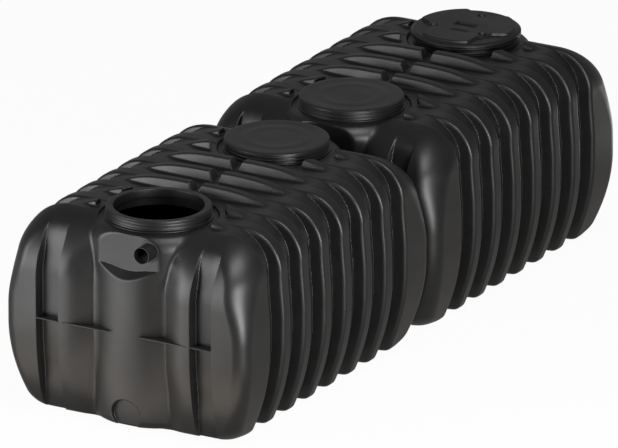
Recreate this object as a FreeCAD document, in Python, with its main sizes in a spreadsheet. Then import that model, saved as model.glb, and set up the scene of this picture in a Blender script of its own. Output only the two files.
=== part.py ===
"""Rainwater tank: two blow-moulded ribbed tanks end to end, as a FreeCAD document in millimetres.

Frame: +Z up, +Y along the length to the rear, origin at the bottom centre of the whole.
"""
import FreeCAD, Part
import math
import os
import Sketcher
from FreeCAD import Placement, Rotation, Vector

doc = FreeCAD.newDocument("rainwater_tank")

# Driving dimensions, each written once in the sheet
SIZES = {
    "tank_gap": 10,
    "tank_length": 2380,
    "tank_width": 1732,
    "crown_height": 1316,
    "wall": 10,
    "shoulder_run": 246,
    "corner_height": 260,
    "side_bow": 20,
    "tuck": 135,
    "tuck_height": 560,
    "haunch_height": 356,
    "band_margin": 131,
    "band_base": 131,
    "band_crest": 81,
    "ridge_run": 105,
    "ridge_rise": 50,
    "groove_depth": 55,
    "foot_height": 40,
    "foot_run": 65,
    "end_rounding": 300,
    "end_drop": 466,
    "corner_rounding": 150,
    "flute_inner": 478,
    "flute_width": 144,
    "flute_depth": 128,
    "flute_draft": 19,
    "lean_drop": 366,
    "lean_slope": 0.6,
    "lobe_run": 18,
    "lobe_setback": 47,
    "lobe_edge": 13,
    "lobe_bow": 15,
    "valley_place": 256,
    "valley_setback": 126,
    "web_drop": 71,
    "web_thickness": 6,
    "bulge_setback": 36,
    "bulge_margin": 55.5,
    "bulge_chamfer": 55,
    "bulge_shoulder": 41,
    "seat_drop": 20,
    "seat_margin": 14,
    "neck_outer": 654,
    "neck_wall": 42.5,
    "neck_height": 80,
    "neck_lip": 13,
    "lip_height": 12,
    "blank_thickness": 10,
    "blank_overhang": 3,
    "blank_margin": 122,
    "step_height": 4,
    "lid_wall": 21,
    "lid_clearance": 8,
    "thread_clearance": 2,
    "lid_skirt": 34,
    "lid_plate": 14,
    "lid_rim": 115,
    "platform_rise": 8,
    "grip_length": 150,
    "grip_width": 60,
    "grip_depth": 12,
    "screw_margin": 30,
    "screw_radius": 12,
    "screw_rise": 5,
    "screw_depth": 10,
    "notch_top": 65,
    "notch_bottom": 40,
    "pad_depth": 60,
    "pad_drop": 231,
    "pad_half": 220,
    "ledge_slope": 0.75,
    "link_depth": 47,
    "link_height": 120,
    "link_flat": 100,
    "link_margin": 50,
    "pipe_outer": 110,
    "pipe_wall": 4,
    "pipe_reach": 96,
    "pipe_inside": 30,
    "pipe_stop": 1,
    "inlet_offset": 145,
    "inlet_drop": 91,
    "seal_thickness": 6,
    "seal_flange": 10,
    "flange_thickness": 8,
}
BANDS_EACH_SIDE = 3

# Dimensions that follow from them, as formulas in the same sheet
FOLLOWING = {
    "half_length": "=tank_length / 2",
    "barrel_end": "=half_length - end_rounding",
    "band_pitch": f"=(barrel_end - band_margin) / {BANDS_EACH_SIDE}",
    "tank_place": "=(tank_length + tank_gap) / 2",
    "wall_top": "=crown_height - corner_height",
    "wall_bottom": "=foot_height + haunch_height",
    "shoulder": "=tank_width / 2 - side_bow - shoulder_run",
    "ridge_half": "=shoulder - ridge_run",
    "tuck_top": "=foot_height + tuck_height",
    "lean_start": "=crown_height - lean_drop",
    "split_level": "=(wall_top + wall_bottom) / 2",
    "web_height": "=split_level - web_drop",
    "flute_outer": "=flute_inner + flute_width",
    "lobe_crest": "=flute_inner - lobe_run",
    "seat_height": "=crown_height - seat_drop",
    "bulge_top": "=seat_height - bulge_shoulder",
    "pad_bottom": "=seat_height - pad_drop",
    "inlet_height": "=seat_height - inlet_drop",
    "lid_outer": "=neck_outer + 2 * (thread_clearance + lid_wall)",
    "lid_platform": "=lid_outer / 2 - lid_rim",
    "screw_circle": "=lid_platform - screw_margin",
    "neck_opening": "=neck_outer - 2 * neck_wall",
    "neck_foot": "=neck_outer / 2 + neck_lip",
    "blank_step": "=neck_outer / 2 - blank_margin",
    "pocket_radius": "=lid_outer / 2 + lid_clearance",
    "seat_radius": "=pocket_radius + seat_margin",
    "bulge_radius": "=seat_radius + bulge_margin",
    "neck_place": "=half_length - bulge_setback - bulge_radius",
    "pad_setback": "=bulge_setback + pad_depth",
    "link_setback": "=bulge_setback + link_depth",
    "pipe_hole": "=pipe_outer / 2 + seal_thickness",
}
sheet = doc.addObject("Spreadsheet::Sheet", "sizes")
for row, (alias, value) in enumerate({**SIZES, **FOLLOWING}.items(), start=1):
    sheet.set(f"A{row}", alias)
    sheet.setAlias(f"B{row}", alias)
    sheet.set(f"B{row}", str(value))
doc.recompute()

BOUND = {alias: f"sizes.{alias}" for alias in [*SIZES, *FOLLOWING]}
TANKS = {"front_tank": -1, "rear_tank": 1}
ENDS = {"front": -1, "rear": 1}
END_STATIONS = 6
LID_SCREWS = 3
FAR = 5000.0
HALF_ROOT = math.sqrt(0.5)

sub_parts = []


def size(alias):
    """A driving dimension as a plain number."""
    return float(getattr(sheet, alias))


def bound(text):
    """An expression whose words in braces are cells of the sheet."""
    return text.format_map(BOUND)


def value_of(text):
    """The number that a bound expression gives now."""
    return float(sheet.evalExpression(bound(text)))


# Limits that many shapes share
half_length = size("half_length")
half_width = size("tank_width") / 2
barrel_end = size("barrel_end")
split_side = (size("flute_inner") + size("flute_outer")) / 2
split_level = size("split_level")
neck_place = size("neck_place")
pocket_radius = size("pocket_radius")
pad_face = half_length - size("pad_setback")
link_face = half_length - size("link_setback")


def add_feature(label, shape):
    """A sub-part whose shape Part's own functions made."""
    feature = doc.addObject("Part::Feature", label)
    feature.Label = label
    feature.Shape = shape
    sub_parts.append(feature)
    return feature


def add_sketch(body, name, plane_role):
    """A sketch on one of the body's own origin planes."""
    sketch = body.newObject("Sketcher::SketchObject", name)
    plane = [item for item in body.Origin.OriginFeatures if item.Role == plane_role][0]
    sketch.AttachmentSupport = [(plane, "")]
    sketch.MapMode = "FlatFace"
    return sketch


def bind_point(sketch, geometry, point, across, up):
    """Ties a point of a sketch to two expressions, or to an axis where one is nought."""
    for kind, axis, text in (("DistanceX", -2, across), ("DistanceY", -1, up)):
        if text == "0":
            sketch.addConstraint(Sketcher.Constraint("PointOnObject", geometry, point, axis))
            continue
        constraint = Sketcher.Constraint(kind, -1, 1, geometry, point, value_of(text))
        place = sketch.addConstraint(constraint)
        sketch.setExpression(f"Constraints[{place}]", bound(text))


def draw_outline(sketch, corners):
    """A closed outline of straight lines through corners given as expressions."""
    points = [Vector(value_of(across), value_of(up), 0) for across, up in corners]
    count = len(points)
    for index in range(count):
        sketch.addGeometry(Part.LineSegment(points[index], points[(index + 1) % count]), False)
    for index in range(count):
        sketch.addConstraint(Sketcher.Constraint("Coincident", index, 2, (index + 1) % count, 1))
    for index, (across, up) in enumerate(corners):
        bind_point(sketch, index, 1, across, up)


def add_turned(label, corners):
    """A body turned about its own Z axis from an outline of radius and height expressions."""
    body = doc.addObject("PartDesign::Body", label)
    body.Label = label
    sketch = add_sketch(body, label + "_outline", "XZ_Plane")
    draw_outline(sketch, corners)
    turn = body.newObject("PartDesign::Revolution", label + "_turn")
    turn.Profile = sketch
    turn.ReferenceAxis = (sketch, ["V_Axis"])
    turn.Angle = 360
    sub_parts.append(body)
    return body


def place_at(body, across="0", along="0", up="0", rotation=Rotation()):
    """Puts a body where three expressions say."""
    body.Placement = Placement(Vector(), rotation)
    for axis, text in (("x", across), ("y", along), ("z", up)):
        body.setExpression(f"Placement.Base.{axis}", bound(text))


def mirrored(points):
    """The same points on the other side of the middle plane."""
    return [Vector(-point.x, point.y, point.z) for point in points]


def arc(first, middle, last):
    return Part.Arc(first, middle, last).toShape()


def line(first, last):
    return Part.LineSegment(first, last).toShape()


def tuck_at(level):
    """How far the side has curved in below the level where it starts."""
    below = max(0.0, size("tuck_top") - level) / size("tuck_height")
    return size("tuck") * below ** 2


def section_wire(station, inset):
    """One cross-section of a tank: tall in a band, wide between bands, squeezed towards an end."""
    along, tall, side_in, low, high = station
    half = half_width - inset
    groove = size("groove_depth") if tall else 0.0
    edge = half - (groove if tall else size("side_bow"))
    top = size("crown_height") - inset
    bottom = size("foot_height") + inset
    apex = top + (size("ridge_rise") if tall else 0.0)
    sole = bottom - (size("foot_height") if tall else 0.0)
    ridge = size("ridge_half")
    shoulder = size("shoulder")
    foot = ridge - size("foot_run")
    wall_top = size("wall_top")
    wall_bottom = size("wall_bottom")
    haunch = (wall_bottom + bottom) / 2
    spread = (half - side_in) / half
    squeeze = (high - low - 2 * inset) / (top - bottom)

    def point(across, up):
        return Vector(across * spread, along, low + inset + (up - bottom) * squeeze)

    shoulder_middle = point(shoulder + HALF_ROOT * (edge - shoulder), wall_top + HALF_ROOT * (top - wall_top))
    right = [
        [point(0, apex), point(ridge / 2, apex - (apex - top) / 4), point(ridge, top)],
        [point(ridge, top), point(shoulder, top)],
        [point(shoulder, top), shoulder_middle, point(edge, wall_top)],
        [point(edge, wall_top), point(edge if tall else half, split_level), point(edge, wall_bottom)],
        [point(edge, wall_bottom), point(half - groove - tuck_at(haunch), haunch),
         point(half - groove - size("tuck"), bottom)],
        [point(half - groove - size("tuck"), bottom), point(foot, sole)],
        [point(foot, sole), point(0, sole)],
    ]
    left = [mirrored(run)[::-1] for run in right[::-1]]
    edges = []
    for run in right + left:
        straight = len(run) == 2 or (run[1] - (run[0] + run[2]) * 0.5).Length < 0.01
        edges.append(line(run[0], run[-1]) if straight else arc(*run))
    return Part.Wire(edges)


def stations(inset):
    """The cross-sections of a tank from its front to its rear."""
    low = size("foot_height")
    high = size("crown_height")
    found = []
    for band in range(-BANDS_EACH_SIDE, BANDS_EACH_SIDE + 1):
        middle = band * size("band_pitch")
        base = size("band_base") / 2
        crest = size("band_crest") / 2
        found += [(middle - base, False, 0.0, low, high), (middle - crest, True, 0.0, low, high)]
        found += [(middle + crest, True, 0.0, low, high), (middle + base, False, 0.0, low, high)]
    end = []
    rounding = size("corner_rounding")
    for step in range(END_STATIONS, -1, -1):
        share = step / END_STATIONS
        back = size("end_rounding") * share ** 2
        along = barrel_end + (size("end_rounding") - back) * (1 - inset / size("end_rounding"))
        past = max(0.0, rounding - back)
        side_in = rounding - math.sqrt(rounding ** 2 - past ** 2)
        lifted = size("tuck_top") - size("tuck_height") * math.sqrt(back / size("tuck"))
        end.append((along, False, side_in, max(low, lifted), high - size("end_drop") * (1 - share)))
    start = [(-station[0], *station[1:]) for station in end[::-1]]
    return start + found + end


def prism(points, direction):
    """A solid swept along a vector from a closed outline of straight lines."""
    return Part.Face(Part.makePolygon(points + points[:1])).extrude(direction)


def end_cutter(inset):
    """Takes away what lies beyond the flutes, lobes and valleys of the rear end."""
    front = half_length + FAR
    floor = half_length - size("flute_depth") - inset
    crest = half_length - size("lobe_setback") - inset
    valley = half_length - size("valley_setback") - inset
    crest_side = size("lobe_crest") - inset
    right = [
        Vector(size("flute_outer") + inset, front, 0),
        Vector(size("flute_outer") + inset, half_length, 0),
        Vector(size("flute_outer") + inset - size("flute_draft"), floor, 0),
        Vector(size("flute_inner") - inset + size("flute_draft"), floor, 0),
        Vector(size("flute_inner") - inset, crest - size("lobe_edge"), 0),
        Vector(crest_side, crest, 0),
    ]
    low = Vector(size("valley_place"), valley, 0)
    bow = (right[-1] + low) * 0.5 + Vector(0, size("lobe_bow"), 0)
    left = mirrored(right)
    edges = [line(a, b) for a, b in zip(right, right[1:])]
    edges += [arc(right[-1], bow, low), line(low, *mirrored([low]))]
    edges += [arc(*mirrored([low, bow, right[-1]]))]
    edges += [line(b, a) for a, b in zip(left, left[1:])][::-1]
    edges += [line(left[0], right[0])]
    face = Part.Face(Part.Wire(edges))
    face.translate(Vector(0, 0, size("lean_start")))
    upper = face.extrude(Vector(0, -size("lean_slope"), 1) * size("crown_height"))
    return face.extrude(Vector(0, 0, -FAR)).fuse(upper)


def bulge(inset):
    """The round bulge below a neck, with the cone that carries the neck's seat."""
    radius = size("bulge_radius") - inset
    bottom = size("foot_height") + inset
    seat = size("seat_radius") - inset
    outline = [
        Vector(0, 0, bottom),
        Vector(radius - size("bulge_chamfer"), 0, bottom),
        Vector(radius, 0, bottom + size("bulge_chamfer")),
        Vector(radius, 0, size("bulge_top") - inset),
        Vector(seat, 0, size("seat_height") - inset),
        Vector(0, 0, size("seat_height") - inset),
    ]
    face = Part.Face(Part.makePolygon(outline + outline[:1]))
    solid = face.revolve(Vector(), Vector(0, 0, 1), 360)
    solid.translate(Vector(0, neck_place, 0))
    return solid


def pad_cutter(inset):
    """Cuts the flat inlet pad and the sloping ledge below it, on the front end."""
    face = -(pad_face - inset)
    side = size("valley_place") + inset
    bottom = size("pad_bottom") - inset
    outline = [Vector(-side, face, FAR), Vector(-side, face, bottom)]
    outline += [Vector(-side, face - FAR, bottom - FAR * size("ledge_slope")), Vector(-side, face - FAR, FAR)]
    return prism(outline, Vector(2 * side, 0, 0))


def link_cutter(inset):
    """Cuts the round flat at the foot of the rear end, where a link pipe fits."""
    start = Vector(0, link_face - inset, size("link_height"))
    return Part.makeCylinder(size("link_flat") + inset, FAR, start, Vector(0, 1, 0))


def neck_pocket(inset):
    """Clears the crown around a neck, so that the lid turns on freely."""
    start = Vector(0, neck_place, size("seat_height") - inset)
    return Part.makeCylinder(pocket_radius + inset, FAR, start)


def notch_cutter(inset):
    """The channel along the middle of the ridges between the necks."""
    reach = neck_place - pocket_radius
    low = size("crown_height") - inset
    high = size("crown_height") + size("ridge_rise")
    narrow = size("notch_bottom") / 2 + inset
    broad = size("notch_top") / 2 + inset
    outline = [Vector(-narrow, -reach, low), Vector(narrow, -reach, low)]
    outline += [Vector(broad, -reach, high), Vector(-broad, -reach, high)]
    return prism(outline, Vector(0, 2 * reach, 0))


def turned_about(shape):
    """The same shape at the other end of the tank."""
    other = shape.copy()
    other.rotate(Vector(), Vector(0, 0, 1), 180)
    return other


def tank_solid(inset):
    """A tank as one filled solid, or its inside where inset is the wall."""
    wires = [section_wire(station, inset) for station in stations(inset)]
    solid = Part.makeLoft(wires, True, True)
    for make in (end_cutter, bulge, link_cutter, neck_pocket):
        tool = make(inset)
        pair = [tool, turned_about(tool)]
        solid = solid.fuse(pair) if make is bulge else solid.cut(pair)
    return solid.cut([pad_cutter(inset), notch_cutter(inset)])


outer = tank_solid(0.0)
inner = tank_solid(size("wall"))
neck_holes = [
    Part.makeCylinder(size("neck_foot"), FAR, Vector(0, side * neck_place, split_level))
    for side in ENDS.values()
]
shell = outer.cut([inner] + neck_holes)


def region(across, along, up):
    """A box between two limits on each axis."""
    start = Vector(across[0], along[0], up[0])
    return Part.makeBox(across[1] - across[0], along[1] - along[0], up[1] - up[0], start)


def both_sides(along, up):
    """Two boxes outside the two side splits."""
    return [region((split_side, FAR), along, up), region((-FAR, -split_side), along, up)]


# The shell's roof, sides, floor and ends, each as the boxes that hold it
BARREL = (-barrel_end, barrel_end)
END_SPANS = {"front": (-FAR, -barrel_end), "rear": (barrel_end, FAR)}
WALL_SPAN = (size("wall_bottom"), size("wall_top"))
MIDDLE = (-split_side, split_side)
EVERY_LEVEL = (-FAR, FAR)
regions = {
    "crown": [region(MIDDLE, BARREL, (split_level, FAR))],
    "base": [region(MIDDLE, BARREL, (-FAR, split_level))],
    "shoulders": both_sides(BARREL, (size("wall_top"), FAR)),
    "haunches": both_sides(BARREL, (-FAR, size("wall_bottom"))),
    "right_wall": both_sides(BARREL, WALL_SPAN)[:1],
    "left_wall": both_sides(BARREL, WALL_SPAN)[1:],
}
for end, span in END_SPANS.items():
    regions[end + "_end_centre"] = [region(MIDDLE, span, EVERY_LEVEL)]
    regions[end + "_end_corners"] = both_sides(span, EVERY_LEVEL)


def pipe_hole(side, across, up):
    """A hole through one end of a tank for a pipe and its seal."""
    return Part.makeCylinder(size("pipe_hole"), half_length, Vector(across, 0, up), Vector(0, side, 0))


HOLES = {
    "inlet_pad": pipe_hole(-1, size("inlet_offset"), size("inlet_height")),
    "front_link_foot": pipe_hole(1, 0, size("link_height")),
    "rear_link_foot": pipe_hole(-1, 0, size("link_height")),
}


def seam_webs(side):
    """The thin webs that bridge the flutes and valleys at one end of a tank."""
    low = size("web_height") - size("web_thickness") / 2
    reach = (barrel_end, half_length - size("lobe_setback"))
    if side < 0:
        reach = (-reach[1], -reach[0])
    span = (-size("flute_outer"), size("flute_outer"))
    plate = region(span, reach, (low, low + size("web_thickness")))
    return plate.cut(outer)


pieces = {name: shell.common(boxes) if len(boxes) == 1 else shell.common(boxes[0].fuse(boxes[1]))
          for name, boxes in regions.items()}
for end, side in ENDS.items():
    pieces[end + "_seam_webs"] = seam_webs(side)
PAD_LEVELS = (size("pad_bottom") + size("wall"), size("seat_height") - 2 * size("wall"))
pad_box = region((-size("pad_half"), size("pad_half")), (-FAR, -barrel_end), PAD_LEVELS)
link_half = size("link_flat") + size("link_margin")
link_box = region((-link_half, link_half), (barrel_end, FAR), (-FAR, size("link_height") + link_half))
# Small pieces round the pipe holes, each cut from a piece of the shell by a box
SPLIT_OFF = {
    "front_tank_front_end_centre": ("inlet_pad", pad_box),
    "front_tank_rear_end_centre": ("front_link_foot", link_box),
    "rear_tank_front_end_centre": ("rear_link_foot", turned_about(link_box)),
}


def add_shell_piece(label, shape, place):
    """A piece of a tank's shell, with its pipe hole if it has one."""
    moved = shape.cut(HOLES[label]) if label in HOLES else shape.copy()
    feature = add_feature(label, moved)
    feature.Placement = Placement(Vector(0, place * size("tank_place"), 0), Rotation())


for tank, place in TANKS.items():
    for name, shape in pieces.items():
        label = f"{tank}_{name}"
        if label in SPLIT_OFF:
            part, box = SPLIT_OFF[label]
            add_shell_piece(part, shape.common(box), place)
            shape = shape.cut(box)
        add_shell_piece(label, shape, place)

# Necks with their blanks and lid
TANK_ALONG = "{tank_place}"
NECK_ALONG = "{neck_place}"
BLANKED = {"front_tank_rear_neck", "rear_tank_front_neck"}
for tank, place in TANKS.items():
    for end, side in ENDS.items():
        label = f"{tank}_{end}_neck"
        along = f"{place} * {TANK_ALONG} + {side} * {NECK_ALONG}"
        rim = "{neck_height} - {blank_thickness}" if label in BLANKED else "{neck_height}"
        neck = add_turned(label, [
            ("{neck_opening} / 2", "-{wall}"),
            ("{neck_foot}", "-{wall}"),
            ("{neck_foot}", "{lip_height}"),
            ("{neck_outer} / 2", "{lip_height}"),
            ("{neck_outer} / 2", rim),
            ("{neck_opening} / 2", rim),
        ])
        place_at(neck, along=along, up="{seat_height}")
        if label in BLANKED:
            blank = add_turned(tank + "_neck_blank", [
                ("0", "0"),
                ("{neck_outer} / 2 + {blank_overhang}", "0"),
                ("{neck_outer} / 2 + {blank_overhang}", "{blank_thickness}"),
                ("{blank_step}", "{blank_thickness}"),
                ("{blank_step}", "{blank_thickness} + {step_height}"),
                ("0", "{blank_thickness} + {step_height}"),
            ])
            place_at(blank, along=along, up="{seat_height} + " + rim)

LID_ALONG = f"{TANK_ALONG} + {NECK_ALONG}"
LID_TOP = "{lid_skirt} + {lid_plate} + {platform_rise}"
LID_UP = "{seat_height} + {neck_height} - {lid_skirt}"
lid = add_turned("screw_lid", [
    ("{neck_outer} / 2 + {thread_clearance}", "0"),
    ("{lid_outer} / 2", "0"),
    ("{lid_outer} / 2", "{lid_skirt} + {lid_plate}"),
    ("{lid_platform}", "{lid_skirt} + {lid_plate}"),
    ("{lid_platform}", LID_TOP),
    ("0", LID_TOP),
    ("0", "{lid_skirt}"),
    ("{neck_outer} / 2 + {thread_clearance}", "{lid_skirt}"),
])
place_at(lid, along=LID_ALONG, up=LID_UP)


def lid_pocket(name, depth, draw):
    """A recess sunk from the lid's top."""
    sketch = add_sketch(lid, name + "_outline", "XY_Plane")
    sketch.setExpression("AttachmentOffset.Base.z", bound(LID_TOP))
    draw(sketch)
    pocket = lid.newObject("PartDesign::Pocket", name)
    pocket.Profile = sketch
    pocket.Length = value_of(depth)
    pocket.setExpression("Length", bound(depth))


def draw_grip(sketch):
    """The hand grip's slot, across the lid."""
    across = "{grip_length} / 2"
    up = "{grip_width} / 2"
    draw_outline(sketch, [(across, up), (f"-{across}", up), (f"-{across}", f"-{up}"), (across, f"-{up}")])


def screw_spot(index):
    """Where one lid screw stands, as two expressions from the lid's middle."""
    turn = math.radians(90 + 360 / LID_SCREWS * index)
    return "{screw_circle} * %.6f" % math.cos(turn), "{screw_circle} * %.6f" % math.sin(turn)


def draw_screw_holes(sketch):
    """A round hole for each lid screw."""
    for index in range(LID_SCREWS):
        across, up = screw_spot(index)
        middle = Vector(value_of(across), value_of(up), 0)
        sketch.addGeometry(Part.Circle(middle, Vector(0, 0, 1), size("screw_radius")), False)
        bind_point(sketch, index, 3, across, up)
        place = sketch.addConstraint(Sketcher.Constraint("Radius", index, size("screw_radius")))
        sketch.setExpression(f"Constraints[{place}]", bound("{screw_radius}"))


lid_pocket("grip_slot", "{grip_depth}", draw_grip)
lid_pocket("screw_holes", "{screw_depth}", draw_screw_holes)

screws = []
for index in range(LID_SCREWS):
    screw = doc.addObject("Part::Cylinder", f"lid_screw_{index}")
    screw.setExpression("Radius", bound("{screw_radius}"))
    screw.setExpression("Height", bound("{screw_depth} + {screw_rise}"))
    across, along = screw_spot(index)
    place_at(screw, across, f"{LID_ALONG} + {along}", f"{LID_UP} + {LID_TOP} - {{screw_depth}}")
    screws.append(screw)
lid_screws = doc.addObject("Part::Compound", "lid_screws")
lid_screws.Label = "lid_screws"
lid_screws.Links = screws
sub_parts.append(lid_screws)

# Pipes and their rubber rings: each is turned about Z and laid along Y
TO_FRONT = Rotation(Vector(1, 0, 0), 90)
TO_REAR = Rotation(Vector(1, 0, 0), -90)


PIPE_BORE = "{pipe_outer} / 2 - {pipe_wall}"
PIPE_RIM = "{pipe_outer} / 2"
PIPE_IN_SEAL = PIPE_RIM + " - {pipe_stop}"


def add_seal(label):
    """A ring that lines a pipe's hole, with a flange outside, from the inner face of the wall."""
    inside = PIPE_IN_SEAL
    sleeve = "{pipe_hole}"
    flange = sleeve + " + {seal_flange}"
    outside = "{wall} + {flange_thickness}"
    return add_turned(label, [
        (inside, "0"), (sleeve, "0"), (sleeve, "{wall}"), (flange, "{wall}"), (flange, outside), (inside, outside),
    ])


PAD_ALONG = f"{TANK_ALONG} + {{half_length}} - {{pad_setback}}"
INLET_STOP = "{pipe_inside} + {wall} + {flange_thickness}"
INLET_LENGTH = "{pipe_inside} + {wall} + {pipe_reach}"
inlet_pipe = add_turned("inlet_pipe", [
    (PIPE_BORE, "0"), (PIPE_IN_SEAL, "0"), (PIPE_IN_SEAL, INLET_STOP),
    (PIPE_RIM, INLET_STOP), (PIPE_RIM, INLET_LENGTH), (PIPE_BORE, INLET_LENGTH),
])
place_at(inlet_pipe, "{inlet_offset}", f"-({PAD_ALONG} - {{wall}} - {{pipe_inside}})", "{inlet_height}", TO_FRONT)
inlet_seal = add_seal("inlet_seal")
place_at(inlet_seal, "{inlet_offset}", f"-({PAD_ALONG} - {{wall}})", "{inlet_height}", TO_FRONT)

LINK_INNER = "({tank_gap} / 2 + {link_setback} + {wall})"
LINK_LENGTH = f"2 * ({LINK_INNER} + {{pipe_inside}})"
link_pipe = add_turned("link_pipe", [
    (PIPE_BORE, "0"), (PIPE_IN_SEAL, "0"), (PIPE_IN_SEAL, LINK_LENGTH), (PIPE_BORE, LINK_LENGTH),
])
place_at(link_pipe, "0", f"-({LINK_INNER} + {{pipe_inside}})", "{link_height}", TO_REAR)
front_link_seal = add_seal("front_link_seal")
place_at(front_link_seal, "0", f"-{LINK_INNER}", "{link_height}", TO_REAR)
rear_link_seal = add_seal("rear_link_seal")
place_at(rear_link_seal, "0", LINK_INNER, "{link_height}", TO_FRONT)

doc.recompute()

for item in doc.Objects:
    if "Invalid" in item.State or "Error" in item.State:
        raise RuntimeError(f"{item.Label} failed: {item.State}")
for item in sub_parts:
    if item.Shape.isNull() or not item.Shape.isValid() or not item.Shape.Solids:
        raise RuntimeError(f"{item.Label} has no valid solid")

os.makedirs("parts", exist_ok=True)
for item in sub_parts:
    item.Shape.exportStep(f"parts/{item.Label}.step")
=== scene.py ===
"""Rainwater tank: two ribbed black plastic tanks end to end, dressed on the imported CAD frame."""
import math

import bmesh
import bpy
import numpy as np
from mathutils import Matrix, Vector


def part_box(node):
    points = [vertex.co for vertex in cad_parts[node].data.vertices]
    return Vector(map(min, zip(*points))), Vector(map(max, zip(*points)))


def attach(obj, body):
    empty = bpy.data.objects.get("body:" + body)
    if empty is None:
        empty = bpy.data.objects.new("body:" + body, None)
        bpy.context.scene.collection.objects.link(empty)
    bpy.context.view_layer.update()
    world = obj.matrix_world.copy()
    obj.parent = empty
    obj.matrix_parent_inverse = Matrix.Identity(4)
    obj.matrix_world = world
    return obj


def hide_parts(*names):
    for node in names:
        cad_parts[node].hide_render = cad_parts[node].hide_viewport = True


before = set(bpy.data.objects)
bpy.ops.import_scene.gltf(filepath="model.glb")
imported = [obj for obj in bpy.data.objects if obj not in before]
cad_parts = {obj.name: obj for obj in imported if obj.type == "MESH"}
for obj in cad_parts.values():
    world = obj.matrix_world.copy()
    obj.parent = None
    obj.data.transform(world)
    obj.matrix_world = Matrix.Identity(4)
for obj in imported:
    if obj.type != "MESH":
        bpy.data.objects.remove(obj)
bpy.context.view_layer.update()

# Tank plastic
# Every moulding here is dark polyethylene. It leaves the mould satin, with a faint grain, a little
# unevenness from cooling and paler scuffs from handling.
PLASTIC_BLACK = (0.0040, 0.0040, 0.0041, 1.0)
PLASTIC_FADED = (0.0068, 0.0068, 0.0069, 1.0)
# Each noise is a scale, a detail and a roughness.
GRAIN_NOISE = (260.0, 2.0, 0.50)
COOLING_NOISE = (3.5, 4.0, 0.55)
SCUFF_NOISE = (9.0, 8.0, 0.62)
NOISE_LOW = 0.3
NOISE_HIGH = 0.7
GRAIN_STRENGTH = 0.12
GRAIN_DEPTH = 0.0008
PLASTIC_IOR = 1.5
TANK_GLOSS = (0.36, 0.44)


def plastic_material(name, dark, faded, gloss):
    """Satin moulded plastic: uneven colour and gloss over a fine grain."""
    material = bpy.data.materials.new(name)
    material.use_nodes = True
    nodes, links = material.node_tree.nodes, material.node_tree.links
    shader = nodes["Principled BSDF"]
    place = nodes.new("ShaderNodeTexCoord")

    def noise(scale, detail, rough):
        node = nodes.new("ShaderNodeTexNoise")
        node.inputs["Scale"].default_value = scale
        node.inputs["Detail"].default_value = detail
        node.inputs["Roughness"].default_value = rough
        links.new(place.outputs["Object"], node.inputs["Vector"])
        return node

    def spread(source, low, high):
        node = nodes.new("ShaderNodeMapRange")
        node.inputs["From Min"].default_value = NOISE_LOW
        node.inputs["From Max"].default_value = NOISE_HIGH
        node.inputs["To Min"].default_value = low
        node.inputs["To Max"].default_value = high
        links.new(source.outputs["Fac"], node.inputs["Value"])
        return node

    cooling = noise(*COOLING_NOISE)
    scuffs = noise(*SCUFF_NOISE)
    grain = noise(*GRAIN_NOISE)
    shade = nodes.new("ShaderNodeMix")
    shade.data_type = "RGBA"
    shade.inputs["A"].default_value = dark
    shade.inputs["B"].default_value = faded
    links.new(spread(scuffs, 0.0, 1.0).outputs["Result"], shade.inputs["Factor"])
    links.new(shade.outputs["Result"], shader.inputs["Base Color"])
    links.new(spread(cooling, *gloss).outputs["Result"], shader.inputs["Roughness"])
    bump = nodes.new("ShaderNodeBump")
    bump.inputs["Strength"].default_value = GRAIN_STRENGTH
    bump.inputs["Distance"].default_value = GRAIN_DEPTH
    links.new(grain.outputs["Fac"], bump.inputs["Height"])
    links.new(bump.outputs["Normal"], shader.inputs["Normal"])
    shader.inputs["IOR"].default_value = PLASTIC_IOR
    return material


tank_plastic = plastic_material("tank_plastic", PLASTIC_BLACK, PLASTIC_FADED, TANK_GLOSS)

# Tank shells
# Each tank is one hollow moulding of black polyethylene. Seven bands run round it: in a band the sides
# are drawn in as grooves and the crown is pushed up as a ridge. The ends carry a round bulge under
# each neck, a lobe on both sides of it, deep flutes and rounded corner lobes.
HALF_LENGTH = 1.168
HALF_WIDTH = 0.866
CROWN = 1.316
FLOOR = 0.040
SKIN = 0.010
SHOULDER_ROUND = 0.260
KEEL_ROUND = 0.035
CORNER_ROUND = 0.090
CORNER_TOP_ROUND = 0.260
CORNER_ROUND_LEVEL = 0.700
SIDE_BOW = 0.020
MIDDLE_LEVEL = 0.726
WALL_TOP = 1.056
WALL_BOTTOM = 0.396
TUCK = 0.135
END_TUCK = 0.090
TUCK_TOP = 0.600
END_LEAN = 0.238
END_LEAN_LEVEL = 0.920
CORNER_LEAN = -0.42
BARREL_END = 0.890
SIDE_SPLIT = 0.550
BAND_PITCH = 0.253
BAND_SIDE = 3
GROOVE_FLOOR = 0.130
GROOVE_DRAFT = 0.20
GROOVE_EDGE = 0.022
GROOVE_LIFT = 0.004
GROOVE_DEPTH = 0.080
RIDGE_CREST = 0.060
RIDGE_DRAFT = 0.30
RIDGE_RISE = 0.060
RIDGE_HALF = 0.500
RIDGE_END = 0.700
RIDGE_GAP = 0.415
RIDGE_POWER = 4
RIDGE_EDGE = 0.012
FOOT_HALF = 0.430
FOOT_CREST = 0.050
FOOT_DRAFT = 0.45
FOOT_INSET = 0.020
FOOT_EDGE = 0.010
FOOT_FILLET = 0.012
FLUTE_INNER = 0.470
FLUTE_OUTER = 0.628
FLUTE_DEPTH = 0.075
FLUTE_WALL = 0.012
FLUTE_EDGE = 0.012
FLUTE_FADE_LOW = 1.020
FLUTE_FADE_HIGH = 1.300
FLUTE_FOOT_SHARE = 0.5
FLUTE_FOOT_LEVEL = 0.350
CORNER_PROUD = 0.030
CORNER_KEEL_ROUND = 0.090
LOBE_CREST = 0.460
LOBE_SETBACK = 0.002
VALLEY = 0.256
VALLEY_SETBACK = 0.081
NECK_PLACE = 0.7265
BULGE_RADIUS = 0.4275
BULGE_TOP = 1.255
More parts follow.
